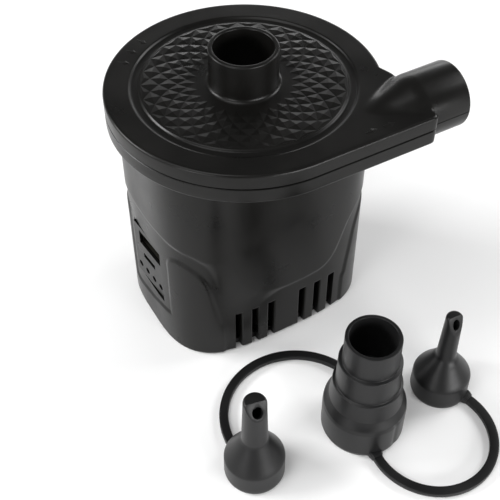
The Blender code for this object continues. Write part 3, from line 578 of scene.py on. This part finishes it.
PX, PY = perimeter()
nx = np.sign(PX) * np.abs(PX / BODY_A) ** (BODY_N - 1) / BODY_A
ny = np.sign(PY) * np.abs(PY / BODY_C) ** (BODY_N - 1) / BODY_C
ln = np.hypot(nx, ny)
nx, ny = nx / ln, ny / ln
levels = [0.0, 0.08, 0.25, 0.5, 0.8, 1.2]
for a, b in ((1.2, PORT_Z0), (PORT_Z0, SLOT_TOP + 0.22), (SLOT_TOP + 0.22, PORT_Z1), (PORT_Z1, SWITCH_Z - 6.7), (SWITCH_Z - 6.7, SWITCH_Z + 6.7), (SWITCH_Z + 6.7, RIM_Z + 0.4)):
    n = max(1, int(round((b - a) / 0.4)))
    levels += [a + (b - a) * (k + 1) / n for k in range(n)]
cols, verts, faces = len(PX), [], []
for z in levels:
    tuck = 0.8 - math.sqrt(max(0.64 - max(0.8 - z, 0) ** 2, 0))
    d = tuck + relief(PX, PY, np.full(cols, z))
    verts += list(zip((PX - nx * d).tolist(), (PY - ny * d).tolist(), [z] * cols))


def opening(x, y, z):
    if y < -20 and z < SLOT_TOP + 0.22:
        if any(abs(abs(x) - c) < SLOT_W / 2 + 0.2 for c in SLOT_X):
            return "slot"
    if x < -20 and PORT_Y0 < y < PORT_Y1 and PORT_Z0 < z < PORT_Z1:
        return "port"
    if y > 20 and abs(x) < 4.4 and abs(z - SWITCH_Z) < 6.7:
        return "switch"
    return None


kept = []
for k in range(len(levels) - 1):
    for i in range(cols):
        j = (i + 1) % cols
        if opening((PX[i] + PX[j]) / 2, (PY[i] + PY[j]) / 2, (levels[k] + levels[k + 1]) / 2) is None:
            kept.append((k * cols + i, k * cols + j, (k + 1) * cols + j, (k + 1) * cols + i))

# walls of the openings: every edge next to a removed face runs inwards, first over a small chamfer
used = {}
for f in kept:
    for a, b in zip(f, f[1:] + f[:1]):
        used[frozenset((a, b))] = used.get(frozenset((a, b)), 0) + 1
inner = {}


def inward(v, depth, chamfer):
    x, y, z = verts[v]
    if y < -20 and z < SLOT_TOP + 1:
        c = min((q * w for q in (-1, 1) for w in SLOT_X), key=lambda c: abs(c - x))
        side = math.copysign(1, x - c)
        zz = min(z, SLOT_TOP) if chamfer else z
        return (c + side * SLOT_W / 2 if abs(abs(x - c) - SLOT_W / 2) < 0.5 else x, y + depth, zz)
    if x < -20:
        return (x + depth, y, z)
    return (x, y - depth, z)


top, count = (len(levels) - 1) * cols, len(verts)
for edge, n in used.items():
    if n != 1:
        continue
    a, b = sorted(edge)
    if b < cols or a >= top:
        continue
    chain = []
    for v in (a, b):
        if v not in inner:
            first = len(verts)
            verts.append(inward(v, 0.22, True))
            verts.append(inward(v, 3.4, True))
            inner[v] = (first, first + 1)
        chain.append((v, *inner[v]))
    for k in range(2):
        kept.append((chain[0][k], chain[1][k], chain[1][k + 1], chain[0][k + 1]))
# the bottom edge turns in to the underside of the wall
under = len(verts)
for i in range(cols):
    verts.append((PX[i] - nx[i] * 2.45, PY[i] - ny[i] * 2.45, 0.0))
for i in range(cols):
    j = (i + 1) % cols
    x, y = (PX[i] + PX[j]) / 2, (PY[i] + PY[j]) / 2
    if opening(x, y, 0.5) is None:
        kept.append((i, j, under + j, under + i))
piece("body_shell", verts, kept, ABS, "pump", 55, ["main_housing"])

# ------------------------------------------------------------------------------ generic marks on the lid
def arrow(name, x, y, turn, size):
    """A low raised arrow, which shows the way the air goes."""
    pts = [(-1.0, -0.16), (0.15, -0.16), (0.15, -0.5), (1.0, 0.0), (0.15, 0.5), (0.15, 0.16), (-1.0, 0.16)]
    c, s = math.cos(turn), math.sin(turn)
    flat = [(x + size * (u * c - v * s), y + size * (u * s + v * c)) for u, v in pts]
    inset = [(x + size * 0.9 * (u * c - v * s * 0.86), y + size * 0.9 * (u * s + v * c * 0.86)) for u, v in pts]
    verts = [(p[0], p[1], TOP_Z - 0.05) for p in flat] + [(p[0], p[1], TOP_Z + 0.03) for p in flat] + [(p[0], p[1], TOP_Z + 0.08) for p in inset]
    n, faces = len(pts), []
    for k in range(2):
        faces += [(k * n + i, k * n + (i + 1) % n, (k + 1) * n + (i + 1) % n, (k + 1) * n + i) for i in range(n)]
    faces.append(tuple(range(2 * n, 3 * n)))
    return piece(name, verts, faces, ABS, "pump", 20)


arrow("arrow_out_1", 19.0, -36.2, 0.0, 1.9)
arrow("arrow_out_2", 24.6, -36.2, 0.0, 1.9)
for k, a in enumerate((118, 127, 136)):
    t = math.radians(a)
    arrow(f"arrow_in_{k + 1}", 36.0 * math.cos(t), 36.0 * math.sin(t), t + math.pi, 1.7)

# ------------------------------------------------------------------------------ stepped adapter
outer = [(8.0, ADAPTER_H), (8.15, 31.8), (9.15, 31.55), (9.4, 22.4), (10.15, 22.15), (10.8, 15.4), (12.2, 12.6), (ADAPTER_R, 11.0), (ADAPTER_R, 1.6), (11.8, 0.0)]
bore = [(10.0, 0.0), (10.0, 12.0), (8.4, 15.0), (8.2, 21.5), (7.4, 23.5), (7.0, 31.0), (6.9, ADAPTER_H)]
GROOVE_ANGLE = math.atan2(-1.0, 0.25)


def adapter_wobble(a, r, z):
    """Shallow pockets round the shoulder of the skirt, and one shallow vertical channel down it."""
    if r < 10.3 or z < 0.5:
        return r
    pocket = 0.0
    if 12.4 < z < 15.6:
        pocket = 0.12 * (0.5 + 0.5 * math.sin(8 * a)) * math.sin(math.pi * (z - 12.4) / 3.2)
    d = (a - GROOVE_ANGLE + math.pi) % TAU - math.pi
    channel = 0.3 * math.exp(-(d / 0.07) ** 2) if z < 12.4 else 0.0
    return r - pocket - channel


prof = rounded(outer + bore, 0.22, 4)
fine = []
for (r0, z0), (r1, z1) in zip(prof, prof[1:] + prof[:1]):
    n = max(1, int(math.hypot(r1 - r0, z1 - z0) / 0.5))
    fine += [(r0 + (r1 - r0) * k / n, z0 + (z1 - z0) * k / n) for k in range(n)]
verts, faces = rings(revolve(fine, ADAPTER, 192, adapter_wobble), closed=True)
piece("adapter_shell", verts, faces, PVC, "nozzle_set", 44, ["stepped_adapter"])


# ------------------------------------------------------------------------------ tip nozzles
WINDOW_DROP, WINDOW_HALF = 2.8, 1.9


def nozzle(side, centre, turn, foot, end, t, start, half):
    outer = [(end - 0.5, TIP_H), (end, TIP_H - 0.7), (foot, 17.0), (foot + 0.3, 16.2), (8.4, 8.8), (TIP_R, 7.8), (TIP_R, 1.2), (8.5, 0),
             (7.4, 0), (7.3, 7.0), (6.3, 9.4), (3.9, 13.2), (foot - 1.6, 15.5), (end - 1.15, TIP_H - 4.5)]
    prof = rounded([(0.0, TIP_H)] + outer + [(0.0, TIP_H - 4.5)], 0.5, 4, closed=False)
    fine = []
    for (r0, z0), (r1, z1) in zip(prof, prof[1:]):
        n = max(1, int(math.hypot(r1 - r0, z1 - z0) / 0.6))
        fine += [(r0 + (r1 - r0) * k / n, z0 + (z1 - z0) * k / n) for k in range(n)]
    fine.append(prof[-1])

    def hollows(a, r, z):
        # the bell is drawn in a little on both sides of the ribs that carry the neck
        if r < 4.4 or not 2.0 < z < 16:
            return r
        return r - 0.3 * (0.5 + 0.5 * math.cos(2 * (a - turn))) * math.sin(math.pi * (z - 2.0) / 14)
    verts, faces = rings(revolve(fine, centre, 128, hollows))
    o = piece("tip_nozzle_" + side, verts, faces, PVC, "nozzle_set", 44, ["valve_nozzle_" + side])
    # the slanted face at the top and the window into the bore
    c, sn = math.cos(turn), math.sin(turn)

    def cutter(name, outline, ends, place):
        """A prism of the outline between two ends; place maps its own (u, v, w) to the row frame in millimetres."""
        bm = bmesh.new()
        loops = [[bm.verts.new(tuple(q * MM for q in place(e, v, w))) for v, w in outline] for e in ends]
        m = len(outline)
        for k in range(m):
            bm.faces.new((loops[0][k], loops[0][(k + 1) % m], loops[1][(k + 1) % m], loops[1][k]))
        bm.faces.new(loops[0])
        bm.faces.new(loops[1][::-1])
        bmesh.ops.recalc_face_normals(bm, faces=bm.faces)
        mesh = bpy.data.meshes.new(name)
        bm.to_mesh(mesh)
        bm.free()
        tool = bpy.data.objects.new(name, mesh)
        scene.collection.objects.link(tool)
        return tool

    def at(u, v, z):
        return (centre[0] + u * c - v * sn, centre[1] + u * sn + v * c, z)
    mid = start + WINDOW_DROP * math.tan(t)

    def face(e, v, w):
        return at(mid + e * math.cos(t) - w * math.sin(t), v, TIP_H - WINDOW_DROP + e * math.sin(t) + w * math.cos(t))
    oval = [(half * math.sin(TAU * k / 32), WINDOW_HALF * math.cos(TAU * k / 32)) for k in range(32)]
    tools = [cutter("flat_cutter", [(-6, -7), (6, -7), (6, 7), (-6, 7)], (0.0, 6.0), face), cutter("window_cutter", oval, (-3.0, 1.5), face)]
    for tool in tools:
        mod = o.modifiers.new(tool.name, "BOOLEAN")
        mod.operation, mod.object, mod.solver = "DIFFERENCE", tool, "EXACT"
    soften = o.modifiers.new("soften", "BEVEL")
    soften.width, soften.segments, soften.limit_method, soften.angle_limit = 0.00022, 2, "ANGLE", math.radians(40)
    bpy.context.view_layer.update()
    cut = bpy.data.meshes.new_from_object(o.evaluated_get(bpy.context.evaluated_depsgraph_get()))
    o.modifiers.clear()
    o.data = cut
    for tool in tools:
        bpy.data.objects.remove(tool, do_unlink=True)
    cut.shade_smooth()
    cut.set_sharp_from_angle(angle=math.radians(44))
    if not cut.materials:
        cut.materials.append(PVC)
    return o


nozzle("left", LEFT, math.radians(-101), 3.8, 3.35, math.radians(29), 0.6, 1.5)
nozzle("right", RIGHT, math.radians(-93), 3.0, 2.5, math.radians(20), 0.3, 1.15)


# lugs that join the straps to the skirts
def lug(name, loop, angle, sense, length):
    dx, dy = sense * math.sin(angle), -sense * math.cos(angle)
    x, y = loop[0] + loop[2] * math.cos(angle), loop[1] + loop[2] * math.sin(angle)
    sect = rounded([(-2.1, 0.05), (2.1, 0.05), (2.1, 2.45), (-2.1, 2.45)], 0.6, 4)
    loops = []
    for u, k in ((-0.15, 0.68), (0.25, 0.8), (0.9, 0.93), (1.5, 1.0), (length, 1.0)):
        loops.append([(x + dx * u - dy * v * k, y + dy * u + dx * v * k, 0.05 + (w - 0.05) * (0.74 + 0.26 * k)) for v, w in sect])
    m, verts, faces = len(sect), [p for l in loops for p in l], []
    for i in range(len(loops) - 1):
        faces += [(i * m + k, i * m + (k + 1) % m, (i + 1) * m + (k + 1) % m, (i + 1) * m + k) for k in range(m)]
    faces += [tuple(range(m))[::-1], tuple(range((len(loops) - 1) * m, len(loops) * m))]
    piece(name, verts, faces, PVC, "nozzle_set", 50)


for side, (loop, s0, s1, tip) in ENDS.items():
    lug("adapter_lug_" + side, loop, s0, 1, 3.1)
    lug("tip_lug_" + side, loop, s1, -1, 2.5)

# ------------------------------------------------------------------------------ gold contacts on the USB tongue
t = math.radians(4.0)
for k in range(4):
    w, y = 0.5, -0.9 + (-3.5 + 7.0 * k / 3)
    box = []
    for z in (32.4 - 0.12, 32.4 + 0.03):
        for lx, ly in ((2.7, y - w), (8.8, y - w), (8.8, y + w), (2.7, y + w)):
            box.append((-34.35 + lx * math.cos(t) - ly * math.sin(t), -0.15 + lx * math.sin(t) + ly * math.cos(t), z))
    piece(f"usb_contact_{k + 1}", box, [(3, 2, 1, 0), (4, 5, 6, 7), (0, 1, 5, 4), (1, 2, 6, 5), (2, 3, 7, 6), (3, 0, 4, 7)], GOLD, "pump", 30)

# ------------------------------------------------------------------------------ materials and bevels on the CAD nodes that stay
slot_of = {s["node"]: s["material_slot"] for s in frame["record"]["subparts"]}
for name, o in frame["nodes"].items():
    o.data.materials.clear()
    o.data.materials.append(SLOT_MATERIAL[slot_of[name]])
    if not o.hide_render:
        b = o.modifiers.new("edges", "BEVEL")
        b.width, b.segments, b.limit_method, b.angle_limit = 0.00016, 2, "ANGLE", math.radians(35)

# ------------------------------------------------------------------------------ floor and light
bm = bmesh.new()
bmesh.ops.create_grid(bm, x_segments=2, y_segments=2, size=4.0)
mesh = bpy.data.meshes.new("floor")
bm.to_mesh(mesh)
bm.free()
floor = bpy.data.objects.new("floor", mesh)
floor.location = (0, 0, -0.0002)
scene.collection.objects.link(floor)
mesh.materials.append(mottled("pale_floor", (0.93, 0.93, 0.93), (0.95, 0.95, 0.95), 0.7, scale=60, bump=0.02, specular=0.2))

world = bpy.data.worlds.new("studio")
scene.world = world
world.use_nodes = True
world.node_tree.nodes["Background"].inputs["Color"].default_value = (1, 1, 1, 1)
world.node_tree.nodes["Background"].inputs["Strength"].default_value = 0.20
scene.view_settings.view_transform = "Standard"


def softbox(name, azimuth, elevation, distance, size, power, target=(0, -0.02, 0.04)):
    d = bpy.data.lights.new(name, "AREA")
    d.shape, d.size, d.size_y, d.energy = "RECTANGLE", size[0], size[1], power
    o = bpy.data.objects.new(name, d)
    back = aim(azimuth, elevation)
    o.location = Vector(target) + back * distance
    o.rotation_mode = "QUATERNION"
    o.rotation_quaternion = back.to_track_quat("Z", "Y")
    scene.collection.objects.link(o)


softbox("key", -78, 62, 1.0, (0.6, 0.6), 3.6)
softbox("left_back", -124, 26, 1.0, (0.5, 0.25), 8.0)
softbox("right_side", 85, 32, 1.0, (0.5, 0.35), 4.5)
softbox("front_low", 14, 11, 1.0, (0.6, 0.2), 8.0)
softbox("left_low", -66, 13, 1.0, (0.4, 0.2), 3.0)
softbox("back_low", 145, 12, 1.0, (0.9, 0.2), 2.2)
